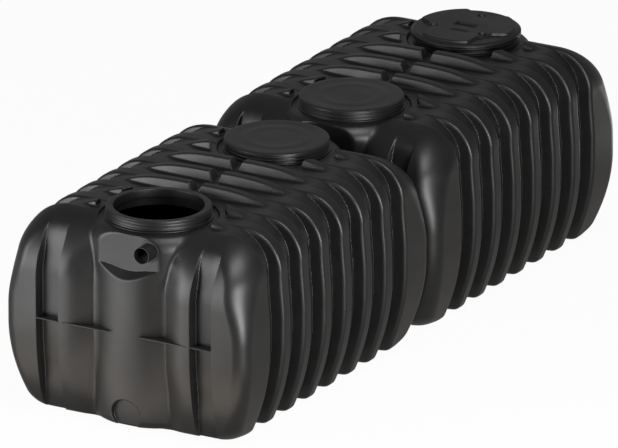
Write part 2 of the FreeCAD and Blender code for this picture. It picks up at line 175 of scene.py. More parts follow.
BULGE_TOP_ROUND = 0.050
BULGE_FOOT_ROUND = 0.060
BULGE_FILLET = 0.020
SEAT = 1.296
SEAT_RADIUS = 0.372
POCKET_RADIUS = 0.372
POCKET_EDGE = 0.014
NECK_HOLE = 0.312
NOTCH_LOW = 0.020
NOTCH_DRAFT = 0.40
NOTCH_EDGE = 0.008
PAD_FACE = 1.094
PAD_BOTTOM = 1.085
PAD_SLOPE = 0.75
PAD_DIP = 0.030
PAD_DIP_HALF = 0.130
PAD_EDGE = 0.010
LINK_FACE = 1.107
LINK_LEVEL = 0.120
LINK_FLAT = 0.100
LINK_EDGE = 0.010
INLET_ACROSS = 0.145
INLET_LEVEL = 1.205
PIPE_HOLE = 0.061
WELL_DEPTH = 0.060
WELL_EDGE = 0.004
WELL_MARGIN = 0.020
HOLE_MARGIN = 0.001
# The field over a leaning face grows faster than the distance, so it is scaled back.
SLIGHT_LEAN_SCALE = 0.98
LEAN_SCALE = 0.95
STEEP_LEAN_SCALE = 0.90
# How finely the surface is sampled, thinned and settled.
GRID_STEP = 0.008
GRID_MARGIN_STEPS = 3
KEEP_SHARE = 0.25
CORNER_STEP_IN = 0.006
CORNER_SHARE_IN = 0.30
SLOPE_REACH = 0.0005
SETTLE_STEP = 0.004
LEAST_SLOPE = 0.5
SETTLE_ROUNDS = 3
RESETTLE_ROUNDS = 2
LEAST_SIZE = 1e-9
LEAST_AREA = 1e-12
CUT_TOLERANCE = 1e-5


def smooth_step(low, high, value):
    """Rises from 0 to 1 between two limits, with rounded ends."""
    part = np.clip((value - low) / (high - low), 0.0, 1.0)
    return part * part * (3.0 - 2.0 * part)


def join(first, second, radius):
    """Union of two distance fields with a fillet."""
    near = np.maximum(radius - np.abs(first - second), 0.0)
    return np.minimum(first, second) - near * near / (4.0 * radius)


def meet(first, second, radius):
    """What two distance fields share, with a rounded edge."""
    return -join(-first, -second, radius)


def carve(body, tool, radius):
    """Takes a tool out of a distance field and rounds the edge."""
    return meet(body, -tool, radius)


def round_corner(first, second, radius):
    """What two distance fields share, with a true round where they meet."""
    first, second = first + radius, second + radius
    outside = np.hypot(np.maximum(first, 0.0), np.maximum(second, 0.0))
    return outside + np.minimum(np.maximum(first, second), 0.0) - radius


def end_setback(across):
    """How far lobes, valleys and flutes lie behind the corner lobes."""
    rise = np.clip((across - VALLEY) / (LOBE_CREST - VALLEY), 0.0, 1.0)
    lobe = VALLEY_SETBACK + (LOBE_SETBACK - VALLEY_SETBACK) * np.sin(rise * math.pi / 2)
    into = np.clip((across - FLUTE_INNER) / FLUTE_WALL, 0.0, 1.0)
    out = np.clip((FLUTE_OUTER - across) / FLUTE_WALL, 0.0, 1.0)
    return (lobe + (FLUTE_DEPTH - lobe) * into) * out - CORNER_PROUD * (1.0 - out)


def tank_field(x, y, z, wells):
    """Signed distance, roughly, from the outer skin of one tank about its own middle."""
    across = np.abs(x)
    along = np.abs(y)
    low = (np.maximum(TUCK_TOP - z, 0.0) / (TUCK_TOP - FLOOR)) ** 2
    bow = SIDE_BOW * smooth_step(MIDDLE_LEVEL, WALL_TOP, z)
    side = (across - HALF_WIDTH + bow + TUCK * low) * LEAN_SCALE
    wide = round_corner(side, z - CROWN, SHOULDER_ROUND)
    off = np.abs(y - BAND_PITCH * np.clip(np.round(y / BAND_PITCH), -BAND_SIDE, BAND_SIDE))
    inner = round_corner(side + GROOVE_DEPTH, z - CROWN - GROOVE_LIFT, SHOULDER_ROUND)
    groove = np.maximum(-inner, (off - GROOVE_FLOOR / 2 - GROOVE_DRAFT * inner) * SLIGHT_LEAN_SCALE)
    body = carve(wide, groove, GROOVE_EDGE)
    lean = END_LEAN * (np.maximum(z - END_LEAN_LEVEL, 0.0) / (CROWN - END_LEAN_LEVEL)) ** 2
    outer = smooth_step(SIDE_SPLIT, HALF_WIDTH, across)
    lean = lean * (1.0 + CORNER_LEAN * outer)
    face = along - HALF_LENGTH + lean + END_TUCK * low
    end = face * STEEP_LEAN_SCALE
    corner = smooth_step(CORNER_ROUND_LEVEL, CROWN, z) * outer
    body = round_corner(body, end, CORNER_ROUND + (CORNER_TOP_ROUND - CORNER_ROUND) * corner)
    keel = smooth_step(SIDE_SPLIT, HALF_WIDTH - TUCK, across)
    keel = keel * smooth_step(BARREL_END, HALF_LENGTH - END_TUCK, along)
    body = round_corner(body, FLOOR - z, KEEL_ROUND + (CORNER_KEEL_ROUND - KEEL_ROUND) * keel)
    reach = np.hypot(x, along - NECK_PLACE)
    arch = z - CROWN - RIDGE_RISE * (1.0 - (across / RIDGE_HALF) ** RIDGE_POWER)
    ridge = np.maximum(np.maximum(arch, MIDDLE_LEVEL - z), across - RIDGE_END)
    ridge = meet(ridge, RIDGE_GAP - reach, RIDGE_EDGE)
    flank = (off - RIDGE_CREST / 2 + RIDGE_DRAFT * arch) * LEAN_SCALE
    ridge = meet(np.maximum(ridge, end), flank, RIDGE_EDGE)
    body = join(body, ridge, RIDGE_EDGE)
    sole = FLOOR * smooth_step(FOOT_HALF, RIDGE_HALF, across) - z
    foot = np.maximum(np.maximum(side + GROOVE_DEPTH + FOOT_INSET, sole), z - MIDDLE_LEVEL)
    flank = (off - FOOT_CREST / 2 + FOOT_DRAFT * sole) * STEEP_LEAN_SCALE
    foot = meet(np.maximum(foot, end), flank, FOOT_EDGE)
    body = join(body, foot, FOOT_FILLET)
    fade = 1.0 - smooth_step(FLUTE_FADE_LOW, FLUTE_FADE_HIGH, z)
    fade = fade * (1.0 - FLUTE_FOOT_SHARE * smooth_step(FLUTE_FOOT_LEVEL, FLOOR, z))
    body = meet(body, face + end_setback(across) * fade, FLUTE_EDGE)
    slope = math.hypot(BULGE_RADIUS - SEAT_RADIUS, SEAT - BULGE_TOP)
    cone = ((reach - SEAT_RADIUS) * (SEAT - BULGE_TOP) + (z - SEAT) * (BULGE_RADIUS - SEAT_RADIUS)) / slope
    bulge = meet(reach - BULGE_RADIUS, cone, BULGE_TOP_ROUND)
    bulge = meet(bulge, FLOOR - z, BULGE_FOOT_ROUND)
    bulge = np.maximum(bulge, z - SEAT)
    body = join(body, bulge, BULGE_FILLET)
    body = carve(body, np.maximum(reach - POCKET_RADIUS, SEAT - z), POCKET_EDGE)
    notch = np.maximum(across - NOTCH_LOW - NOTCH_DRAFT * (z - CROWN), CROWN - z)
    notch = np.maximum(notch, along - (NECK_PLACE - POCKET_RADIUS))
    body = carve(body, notch, NOTCH_EDGE)
    tongue = PAD_BOTTOM - PAD_DIP * np.exp(-(x / PAD_DIP_HALF) ** 2)
    ledge = (tongue - PAD_SLOPE * (-y - PAD_FACE) - z) / math.hypot(1.0, PAD_SLOPE)
    pad = np.maximum(y + PAD_FACE, ledge)
    pad = np.maximum(pad, across - VALLEY)
    body = carve(body, pad, PAD_EDGE)
    link = np.maximum(np.hypot(x, z - LINK_LEVEL) - LINK_FLAT, LINK_FACE - along)
    body = carve(body, link, LINK_EDGE)
    body = carve(body, np.maximum(reach - NECK_HOLE, SEAT - WELL_DEPTH - z), WELL_EDGE)
    for way, flat, well_across, level in wells:
        well = np.hypot(x - well_across, z - level) - PIPE_HOLE
        body = carve(body, np.maximum(well, flat - WELL_DEPTH - way * y), WELL_EDGE)
    return body


def net_surface(field, start, step):
    """Quads over the zero surface of a sampled field, one corner in each cell that it crosses."""
    inside = field < 0.0
    cells = np.array(field.shape) - 1
    edge_points = []
    edge_cells = []
    for axis in range(3):
        low = [slice(None)] * 3
        high = [slice(None)] * 3
        low[axis] = slice(None, -1)
        high[axis] = slice(1, None)
        spot = np.argwhere(inside[tuple(low)] != inside[tuple(high)])
        unit = np.eye(3, dtype=int)[axis]
        first = field[tuple(spot.T)]
        second = field[tuple((spot + unit).T)]
        edge_points.append(spot + np.outer(first / (first - second), unit))
        ring = []
        for across, up in ((-1, -1), (0, -1), (0, 0), (-1, 0)):
            cell = spot.copy()
            cell[:, (axis + 1) % 3] += across
            cell[:, (axis + 2) % 3] += up
            ring.append((cell[:, 0] * cells[1] + cell[:, 1]) * cells[2] + cell[:, 2])
        ring = np.stack(ring, axis=1)
        outwards_in = first >= 0.0
        ring[outwards_in] = ring[outwards_in][:, ::-1]
        edge_cells.append(ring)
    rings = np.concatenate(edge_cells)
    crossings = np.repeat(np.concatenate(edge_points), 4, axis=0)
    _, corner = np.unique(rings.ravel(), return_inverse=True)
    count = np.bincount(corner)
    points = np.stack([np.bincount(corner, crossings[:, axis]) / count for axis in range(3)], axis=1)
    return start + points * step, corner.reshape(-1, 4)


def field_normals(points, wells):
    """Unit normals and slope of the tank field at points."""
    slope = np.empty_like(points)
    for axis in range(3):
        ahead = points.copy()
        behind = points.copy()
        ahead[:, axis] += SLOPE_REACH
        behind[:, axis] -= SLOPE_REACH
        slope[:, axis] = (tank_field(*ahead.T, wells) - tank_field(*behind.T, wells)) / (2 * SLOPE_REACH)
    size = np.linalg.norm(slope, axis=1, keepdims=True)
    return slope / np.maximum(size, LEAST_SIZE), size[:, 0]


def settle(points, wells, rounds):
    """Moves points onto the zero surface."""
    for _ in range(rounds):
        normals, slope = field_normals(points, wells)
        off = tank_field(*points.T, wells) / np.maximum(slope, LEAST_SLOPE)
        points = points - normals * np.clip(off, -SETTLE_STEP, SETTLE_STEP)[:, None]
    return points


def mesh_from(name, points, faces):
    """A mesh from arrays of corners and of faces with one number of sides."""
    mesh = bpy.data.meshes.new(name)
    sides = faces.shape[1]
    mesh.vertices.add(len(points))
    mesh.vertices.foreach_set("co", points.astype(np.float32).ravel())
    mesh.loops.add(faces.size)
    mesh.loops.foreach_set("vertex_index", faces.astype(np.int32).ravel())
    mesh.polygons.add(len(faces))
    mesh.polygons.foreach_set("loop_start", np.arange(0, faces.size, sides, dtype=np.int32))
    mesh.update(calc_edges=True)
    return mesh


def arrays_of(mesh):
    """Corners and triangles of a mesh."""
    points = np.empty(len(mesh.vertices) * 3, dtype=np.float32)
    mesh.vertices.foreach_get("co", points)
    mesh.calc_loop_triangles()
    faces = np.empty(len(mesh.loop_triangles) * 3, dtype=np.int32)
    mesh.loop_triangles.foreach_get("vertices", faces)
    return points.reshape(-1, 3).astype(float), faces.reshape(-1, 3)


def add_object(name, mesh, material):
    """Puts a mesh into the scene under its own name."""
    piece = bpy.data.objects.new(name, mesh)
    bpy.context.scene.collection.objects.link(piece)
    if not mesh.materials:
        mesh.materials.append(material)
    return piece


def ride_as(piece, slot, *nodes):
    """Fixes a piece to the tank in place of its CAD nodes."""
    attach(piece, "root")
    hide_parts(*nodes)


def thinned(points, faces, share):
    """The same surface with fewer triangles where it is flat."""
    mesh = mesh_from("tank_net", points, faces)
    net = add_object("tank_net", mesh, tank_plastic)
    modifier = net.modifiers.new("thin", "DECIMATE")
    modifier.ratio = share
    ready = net.evaluated_get(bpy.context.evaluated_depsgraph_get())
    found = arrays_of(bpy.data.meshes.new_from_object(ready))
    bpy.data.objects.remove(net)
    return found


def cut_along(points, faces, planes):
    """Adds edges where planes cross the surface, so that pieces part on straight lines."""
    shape = bmesh.new()
    shape.from_mesh(mesh_from("tank_cut", points, faces))
    for axis, level in planes:
        place = Vector((0.0, 0.0, 0.0))
        place[axis] = level
        normal = Vector((0.0, 0.0, 0.0))
        normal[axis] = 1.0
        everything = shape.verts[:] + shape.edges[:] + shape.faces[:]
        bmesh.ops.bisect_plane(
            shape, geom=everything, dist=CUT_TOLERANCE, plane_co=place, plane_no=normal,
        )
    mesh = bpy.data.meshes.new("tank_cut")
    shape.to_mesh(mesh)
    shape.free()
    return arrays_of(mesh)


def corner_normals(points, faces, wells):
    """Normals at the corners of each face, read a little way in towards its middle."""
    corners = points[faces]
    inward = corners.mean(axis=1, keepdims=True) - corners
    far = np.linalg.norm(inward, axis=2, keepdims=True)
    inward *= np.minimum(CORNER_STEP_IN / np.maximum(far, LEAST_SIZE), CORNER_SHARE_IN)
    return field_normals((corners + inward).reshape(-1, 3), wells)[0].reshape(-1, 3, 3)


def thick_mesh(name, points, normals, faces, shading):
    """A closed panel: the outer faces, the same faces a skin deeper, and a rim between them."""
    used, faces = np.unique(faces, return_inverse=True)
    faces = faces.reshape(-1, 3)
    points, normals = points[used], normals[used]
    count = len(points)
    edges = np.concatenate([faces[:, [0, 1]], faces[:, [1, 2]], faces[:, [2, 0]]])
    keys = edges[:, 0] * count + edges[:, 1]
    back = edges[:, 1] * count + edges[:, 0]
    rim = edges[~np.isin(keys, back)]
    rim_faces = np.concatenate([
        np.stack([rim[:, 1], rim[:, 0], rim[:, 0] + count], axis=1),
        np.stack([rim[:, 1], rim[:, 0] + count, rim[:, 1] + count], axis=1),
    ])
    every_point = np.concatenate([points, points - normals * SKIN])
    every_face = np.concatenate([faces, faces[:, ::-1] + count, rim_faces])
    shading = np.concatenate([shading.reshape(-1, 3), -shading[:, ::-1].reshape(-1, 3)])
    sides = every_point[rim_faces]
    flat = np.cross(sides[:, 1] - sides[:, 0], sides[:, 2] - sides[:, 0])
    flat /= np.maximum(np.linalg.norm(flat, axis=1, keepdims=True), LEAST_AREA)
    shading = np.concatenate([shading, np.repeat(flat, 3, axis=0)])
    mesh = mesh_from(name, every_point, every_face)
    mesh.shade_smooth()
    mesh.normals_split_custom_set(shading.tolist())
    return mesh


def part_names(middles):
    """Which piece of the shell each face belongs to, from the place of its middle."""
    x, y, z = middles.T
    side = np.abs(x) > SIDE_SPLIT
    names = np.where(z > MIDDLE_LEVEL, "crown", "base").astype("U20")
    names[side & (z > WALL_TOP)] = "shoulders"
    names[side & (z < WALL_BOTTOM)] = "haunches"
    wall = side & (z <= WALL_TOP) & (z >= WALL_BOTTOM)
    names[wall & (x > 0)] = "right_wall"
    names[wall & (x < 0)] = "left_wall"
    for end, beyond in (("front", y < -BARREL_END), ("rear", y > BARREL_END)):
        names[beyond & ~side] = end + "_end_centre"
        names[beyond & side] = end + "_end_corners"
    return names


SPLITS = [
    (0, -SIDE_SPLIT), (0, SIDE_SPLIT), (1, -BARREL_END), (1, BARREL_END), (2, WALL_TOP), (2, WALL_BOTTOM),
]
INLET_WELL = (-1, PAD_FACE, INLET_ACROSS, INLET_LEVEL)
TANK_WELLS = {
    "front_tank": [INLET_WELL, (1, LINK_FACE, 0.0, LINK_LEVEL)],
    "rear_tank": [(-1, LINK_FACE, 0.0, LINK_LEVEL)],
}
SPLIT_OFF = {
    "front_tank_front_end_centre": ["inlet_pad"],
    "front_tank_rear_end_centre": ["front_link_foot"],
    "rear_tank_front_end_centre": ["rear_link_foot"],
}
tank_middles = {}
for tank, wells in TANK_WELLS.items():
    low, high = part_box(tank + "_base")
    tank_middles[tank] = (low[1] + high[1]) / 2
    margin = GRID_MARGIN_STEPS * GRID_STEP
    lines = [np.arange(-reach - margin, reach + margin, GRID_STEP, dtype=np.float32)
             for reach in (HALF_WIDTH, HALF_LENGTH)]
    lines.append(np.arange(-margin, CROWN + RIDGE_RISE + margin, GRID_STEP, dtype=np.float32))
    field = tank_field(lines[0][:, None, None], lines[1][None, :, None], lines[2][None, None, :], wells)
    start = np.array([line[0] for line in lines], dtype=float)
    points, faces = net_surface(field, start, GRID_STEP)
    points = settle(points, wells, SETTLE_ROUNDS)
    points, faces = thinned(points, faces, KEEP_SHARE)
    points = settle(points, wells, RESETTLE_ROUNDS)
    points, faces = cut_along(points, faces, SPLITS)
    middles = points[faces].mean(axis=1)
    reach = np.hypot(middles[:, 0], np.abs(middles[:, 1]) - NECK_PLACE)
    open_faces = (reach < NECK_HOLE + HOLE_MARGIN) & (middles[:, 2] > SEAT - WELL_DEPTH - WELL_MARGIN)
    open_faces &= middles[:, 2] < SEAT + WELL_MARGIN
    for way, flat, well_across, level in wells:
        inside = np.hypot(middles[:, 0] - well_across, middles[:, 2] - level) < PIPE_HOLE + HOLE_MARGIN
        open_faces |= inside & (way * middles[:, 1] > flat - WELL_DEPTH - WELL_MARGIN)
    faces, middles = faces[~open_faces], middles[~open_faces]
    normals = field_normals(points, wells)[0]
    shading = corner_normals(points, faces, wells)
    placed = points + np.array([0.0, tank_middles[tank], 0.0])
    names = part_names(middles)
    for part in np.unique(names):
        label = f"{tank}_{part}"
        own = names == part
        mesh = thick_mesh(label + "_skin", placed, normals, faces[own], shading[own])
        nodes = [label, *SPLIT_OFF.get(label, [])]
        ride_as(add_object(label + "_skin", mesh, tank_plastic), "tank_plastic", *nodes)

# Seam webs
# Thin webs of the same plastic bridge the flutes and valleys where the mould parts. Each is a flat plate
# with a straight front edge, let into the shell at its back.
WEB_LEVEL = 0.655
WEB_THICK = 0.006
WEB_FRONT = 1.166
WEB_LET_IN = 0.006
WEB_SPANS = [(0.110, 0.440), (0.464, 0.632)]
WEB_STEPS = 28
WEB_LEAST = 0.001


def end_face(across):
    """How far the end's skin lies from the tank's middle at the level of the webs."""
    lobes = HALF_LENGTH - end_setback(np.abs(across))
    bulge = NECK_PLACE + np.sqrt(np.maximum(BULGE_RADIUS ** 2 - across ** 2, 0.0))
    return np.where(np.abs(across) < VALLEY, np.maximum(bulge, HALF_LENGTH - VALLEY_SETBACK), lobes)


def web_mesh(name, spans, middle, side):
    """Closed plates between a straight front edge and the skin behind it."""
    points = []
    faces = []
    for start, stop in spans:
        across = np.linspace(start, stop, WEB_STEPS)
        back = np.minimum(end_face(across) - WEB_LET_IN, WEB_FRONT - WEB_LEAST)
        first = sum(len(part) for part in points)
        for level in (WEB_LEVEL - WEB_THICK / 2, WEB_LEVEL + WEB_THICK / 2):
            for edge in (back, np.full(WEB_STEPS, WEB_FRONT)):
                points.append(np.stack([across, middle + side * edge, np.full(WEB_STEPS, level)], axis=1))
        rows = first + np.arange(4 * WEB_STEPS).reshape(4, WEB_STEPS)
        for one, two in ((0, 1), (1, 3), (3, 2), (2, 0)):
            faces.append(np.stack([rows[one][:-1], rows[one][1:], rows[two][1:], rows[two][:-1]], axis=1))
        faces.append(np.array([rows[[0, 1, 3, 2], 0], rows[[0, 2, 3, 1], -1]]))
    mesh = mesh_from(name, np.concatenate(points), np.concatenate(faces))
    shape = bmesh.new()
    shape.from_mesh(mesh)
    bmesh.ops.recalc_face_normals(shape, faces=shape.faces[:])
    shape.to_mesh(mesh)
    shape.free()
    return mesh


for tank in TANK_WELLS:
    for end, side in (("front", -1), ("rear", 1)):
        label = f"{tank}_{end}_seam_webs"
        spans = WEB_SPANS + [(-stop, -start) for start, stop in WEB_SPANS]
        mesh = web_mesh(label + "_plates", spans, tank_middles[tank], side)
        ride_as(add_object(label + "_plates", mesh, tank_plastic), "tank_plastic", label)

# Necks
# Each neck is a collar moulded with its tank. A flare leads from the bulge to a double lip, and the
# thread above it takes a lid. Collars are turned from an outline; the thread is a spiral bead.
NECK_OUTER = 0.327
NECK_BORE = 0.2845
NECK_UNDERCUT = 0.304
NECK_HEIGHT = 0.080
BLANK_THICKNESS = 0.010
NECK_WALL = 0.008
NECK_FOOT = -0.030
NECK_WALL_FOOT = 0.018
UNDERCUT_TOP = 0.020
BORE_FOOT = 0.028
FLARE_FOOT = 0.374
FLARE_TOP = 0.3455
FLARE_BOTTOM = -0.009
FLARE_FOOT_LEVEL = -0.004
FLARE_TOP_LEVEL = 0.005
LIP_GAP = 0.334
LIP_WIDE = 0.341
LIP_FOOT = 0.007
LIP_LOWER = 0.009
LIP_UPPER = 0.014
LIP_TOP = 0.016
EDGE_SHARP = 0.0
EDGE_CRISP = 0.001
EDGE_EASED = 0.002
EDGE_SOFT = 0.003
EDGE_ROUND = 0.004
MERGE_DISTANCE = 1e-6
TURNED_SIDES = 144
ROUND_STEPS = 4
SHARP_TURN = math.radians(38.0)
THREAD_TURNS = 2.5
THREAD_PITCH = 0.0215
THREAD_BEAD = 0.0055
THREAD_SIDES = 160
THREAD_BELOW_TOP = 0.006
BEAD_SIDES = 8


def rounded_outline(corners):
    """A closed outline whose corners, each a radius, a height and a rounding, become short curves."""
    points = []
    for index, (across, up, rounding) in enumerate(corners):
        here = np.array([across, up])
        before = np.array(corners[index - 1][:2]) - here
        after = np.array(corners[(index + 1) % len(corners)][:2]) - here
        before *= rounding / np.linalg.norm(before)
        after *= rounding / np.linalg.norm(after)
        for part in np.linspace(0.0, 1.0, ROUND_STEPS + 1) if rounding else (0.0,):
            points.append(here + before * (1.0 - part) ** 2 + after * part ** 2)
    return np.array(points)


def turned_mesh(name, corners, middle, axis=2, sides=TURNED_SIDES):
    """A closed solid turned from an outline about a line through its middle."""
    outline = rounded_outline(corners)
    following = np.roll(outline, -1, axis=0)
    if np.sum(outline[:, 0] * following[:, 1] - following[:, 0] * outline[:, 1]) > 0:
        outline = outline[::-1]
    turn = np.linspace(0.0, 2.0 * math.pi, sides, endpoint=False)
    ring = np.stack([np.cos(turn), np.sin(turn)], axis=1)
    spots = np.empty((len(outline), sides, 3))
    spots[:, :, (axis + 1) % 3] = outline[:, :1] * ring[:, 0]
    spots[:, :, (axis + 2) % 3] = outline[:, :1] * ring[:, 1]
    spots[:, :, axis] = outline[:, 1:]
    number = np.arange(spots[:, :, 0].size).reshape(len(outline), sides)
    ahead = np.roll(number, -1, axis=0)
    quads = np.stack([number, ahead, np.roll(ahead, -1, axis=1), np.roll(number, -1, axis=1)], axis=2)
    wide = np.maximum(outline[:, 0], np.roll(outline, -1, axis=0)[:, 0]) > LEAST_SIZE
    mesh = mesh_from(name, spots.reshape(-1, 3) + np.array(middle), quads[wide].reshape(-1, 4))
    shape = bmesh.new()
    shape.from_mesh(mesh)
    bmesh.ops.remove_doubles(shape, verts=shape.verts[:], dist=MERGE_DISTANCE)
    shape.to_mesh(mesh)
    shape.free()
    mesh.shade_smooth()
    mesh.set_sharp_from_angle(angle=SHARP_TURN)
    return mesh


def joined_mesh(name, meshes):
    """One mesh out of several."""
    shape = bmesh.new()
    for mesh in meshes:
        shape.from_mesh(mesh)
    mesh = bpy.data.meshes.new(name)
    shape.to_mesh(mesh)
    shape.free()
    mesh.set_sharp_from_angle(angle=SHARP_TURN)
    return mesh


def shift_mesh(mesh, spot):
    """Moves a mesh's corners, so that its object can stay at the origin."""
    for vertex in mesh.vertices:
        vertex.co += spot


def new_tree(name, inputs):
    """An empty node tree for a modifier, with number inputs."""
    tree = bpy.data.node_groups.new(name, "GeometryNodeTree")
    tree.interface.new_socket("Geometry", in_out="OUTPUT", socket_type="NodeSocketGeometry")
    for label in inputs:
        tree.interface.new_socket(label, in_out="INPUT", socket_type="NodeSocketFloat")
    return tree, tree.nodes.new("NodeGroupInput"), tree.nodes.new("NodeGroupOutput")


def finish_tree(tree, geometry, material, result):
    """Ends a tree: instances made real and one material set."""
    real = tree.nodes.new("GeometryNodeRealizeInstances")
    coat = tree.nodes.new("GeometryNodeSetMaterial")
    coat.inputs["Material"].default_value = material
    tree.links.new(geometry, real.inputs["Geometry"])
    tree.links.new(real.outputs["Geometry"], coat.inputs["Geometry"])
    tree.links.new(coat.outputs["Geometry"], result.inputs["Geometry"])


def made_by(tree, values):
    """The plain mesh that a node tree makes from its named inputs."""
    holder = add_object("tree_holder", bpy.data.meshes.new("tree_holder"), tank_plastic)
    modifier = holder.modifiers.new("tree", "NODES")
    modifier.node_group = tree
    for item in tree.interface.items_tree:
        if item.in_out == "INPUT" and item.name in values:
            modifier[item.identifier] = values[item.name]
    ready = holder.evaluated_get(bpy.context.evaluated_depsgraph_get())
    mesh = bpy.data.meshes.new_from_object(ready)
    holder.modifiers.remove(modifier)
    bpy.data.objects.remove(holder)
    return mesh


thread_tree, given, result = new_tree("neck_thread", ["Radius", "Turns", "Rise", "Bead"])
spiral = thread_tree.nodes.new("GeometryNodeCurveSpiral")
spiral.inputs["Resolution"].default_value = THREAD_SIDES
thread_tree.links.new(given.outputs["Turns"], spiral.inputs["Rotations"])
thread_tree.links.new(given.outputs["Radius"], spiral.inputs["Start Radius"])
thread_tree.links.new(given.outputs["Radius"], spiral.inputs["End Radius"])
thread_tree.links.new(given.outputs["Rise"], spiral.inputs["Height"])
bead = thread_tree.nodes.new("GeometryNodeCurvePrimitiveCircle")
bead.inputs["Resolution"].default_value = BEAD_SIDES
thread_tree.links.new(given.outputs["Bead"], bead.inputs["Radius"])
swept = thread_tree.nodes.new("GeometryNodeCurveToMesh")
swept.inputs["Fill Caps"].default_value = True
thread_tree.links.new(spiral.outputs["Curve"], swept.inputs["Curve"])
thread_tree.links.new(bead.outputs["Curve"], swept.inputs["Profile Curve"])
finish_tree(thread_tree, swept.outputs["Mesh"], tank_plastic, result)
thread_rise = THREAD_TURNS * THREAD_PITCH
thread_mesh = made_by(thread_tree, {
    "Radius": NECK_OUTER, "Turns": THREAD_TURNS, "Rise": thread_rise, "Bead": THREAD_BEAD,
})
thread_mesh.shade_smooth()

BLANKED = {"front_tank_rear_neck", "rear_tank_front_neck"}
NECKS = [f"{tank}_{end}_neck" for tank in TANK_WELLS for end in ("front", "rear")]
for label in NECKS:
    low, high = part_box(label)
    middle = ((low[0] + high[0]) / 2, (low[1] + high[1]) / 2, SEAT)
    top = NECK_HEIGHT - (BLANK_THICKNESS if label in BLANKED else 0.0)
    collar = turned_mesh(label + "_collar", [
        (NECK_UNDERCUT, NECK_FOOT, EDGE_SHARP),
        (NECK_UNDERCUT, UNDERCUT_TOP, EDGE_EASED),
        (NECK_BORE, BORE_FOOT, EDGE_EASED),
        (NECK_BORE, top, EDGE_ROUND),
        (NECK_OUTER, top, EDGE_ROUND),
        (NECK_OUTER, NECK_WALL_FOOT, EDGE_EASED),
        (LIP_GAP, LIP_TOP, EDGE_CRISP),
        (LIP_WIDE, LIP_UPPER, EDGE_CRISP),
        (LIP_WIDE, LIP_LOWER, EDGE_CRISP),
        (LIP_GAP, LIP_FOOT, EDGE_CRISP),
        (FLARE_TOP, FLARE_TOP_LEVEL, EDGE_SOFT),
        (FLARE_FOOT, FLARE_FOOT_LEVEL, EDGE_SHARP),
        (FLARE_FOOT, FLARE_BOTTOM, EDGE_SHARP),
        (NECK_UNDERCUT + NECK_WALL, FLARE_BOTTOM, EDGE_SHARP),
        (NECK_UNDERCUT + NECK_WALL, NECK_FOOT, EDGE_SHARP),
    ], middle)
    thread = thread_mesh.copy()
    shift_mesh(thread, Vector(middle) + Vector((0.0, 0.0, top - THREAD_BELOW_TOP - thread_rise)))
    mesh = joined_mesh(label + "_collar", [collar, thread])
    ride_as(add_object(label + "_collar", mesh, tank_plastic), "tank_plastic", label)

# Neck blanks
# The two middle necks are closed by round discs of the same black plastic, moulded on. Each disc is
# turned from an outline and has shallow rings on its top.
BLANK_RADIUS = 0.330
BLANK_RING = 0.285
BLANK_STEP = 0.205
BLANK_CHAMFER = 0.010
BLANK_CHAMFER_DROP = 0.006
RING_SINK = 0.002
RING_SLOPE = 0.030
RING_ROUND = 0.012
STEP_SLOPE = 0.020
STEP_ROUND = 0.008
sunk_level = BLANK_THICKNESS - RING_SINK
for tank in TANK_WELLS:
    label = tank + "_neck_blank"
    low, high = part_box(label)
    middle = ((low[0] + high[0]) / 2, (low[1] + high[1]) / 2, low[2])
    mesh = turned_mesh(label + "_disc", [
        (0.0, 0.0, EDGE_SHARP),
        (BLANK_RADIUS, 0.0, EDGE_CRISP),
        (BLANK_RADIUS, BLANK_THICKNESS - BLANK_CHAMFER_DROP, EDGE_SOFT),
        (BLANK_RADIUS - BLANK_CHAMFER, BLANK_THICKNESS, STEP_ROUND),
        (BLANK_RING, BLANK_THICKNESS, RING_ROUND),
        (BLANK_RING - RING_SLOPE, sunk_level, RING_ROUND),
        (BLANK_STEP + STEP_SLOPE, sunk_level, STEP_ROUND),
        (BLANK_STEP, BLANK_THICKNESS, STEP_ROUND),
        (BLANK_STEP - RING_SLOPE, BLANK_THICKNESS, STEP_ROUND),
        (BLANK_STEP - 2 * RING_SLOPE, sunk_level, STEP_ROUND),
        (0.0, sunk_level, EDGE_SHARP),
    ], middle)
    ride_as(add_object(label + "_disc", mesh, tank_plastic), "tank_plastic", label)

# Screw lid
# The lid is its own moulding with a slanting rim and two grip rings. A raised platform, scalloped beside
# each lid screw, carries the grip slot and a finger hollow. The screws sit in round hollows.
LID_GLOSS = (0.36, 0.48)
lid_plastic = plastic_material("lid_plastic", PLASTIC_BLACK, PLASTIC_FADED, LID_GLOSS)
LID_BORE = 0.329
LID_RADIUS = 0.350
LID_SKIRT = 0.034
LID_TOP = 0.044
HEM_IN = 0.004
HEM_TOP = 0.006
LOWER_RING = (0.008, 0.015)
RING_GAP = (0.016, 0.021)
RING_GAP_IN = 0.010
UPPER_RING = (0.022, 0.030)
RIM_SLANT = 0.018
RIM_ROUND = 0.006
PLATE_IN = 0.026
TOP_TOLERANCE = 1e-4
PLATFORM_REACH = 0.318
PLATFORM_RISE = 0.016
SCALLOP = 0.085
SCALLOP_FULL = 0.9
STEP_HALF = 0.006
GRIP_LENGTH = 0.150
GRIP_WIDTH = 0.060
GRIP_DEPTH = 0.012
GRIP_EDGE = 0.004
HOLLOW_PLACE = (0.02, -0.12)
HOLLOW_SIZE = (0.09, 0.030)
HOLLOW_DEPTH = 0.006
HOLLOW_FLAT = 0.4
LID_SCREWS = 3
SCREW_CIRCLE = 0.205
SCREW_HEAD = 0.012
SCREW_TALL = 0.007
SCREW_LET_IN = 0.001
SCREW_SIDES = 32
SCREW_HOLLOW = 0.026
HOLLOW_WALL = 0.003
LID_RINGS = 100
LID_SIDES = 360
low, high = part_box("screw_lid")
lid_middle = ((low[0] + high[0]) / 2, (low[1] + high[1]) / 2, low[2])
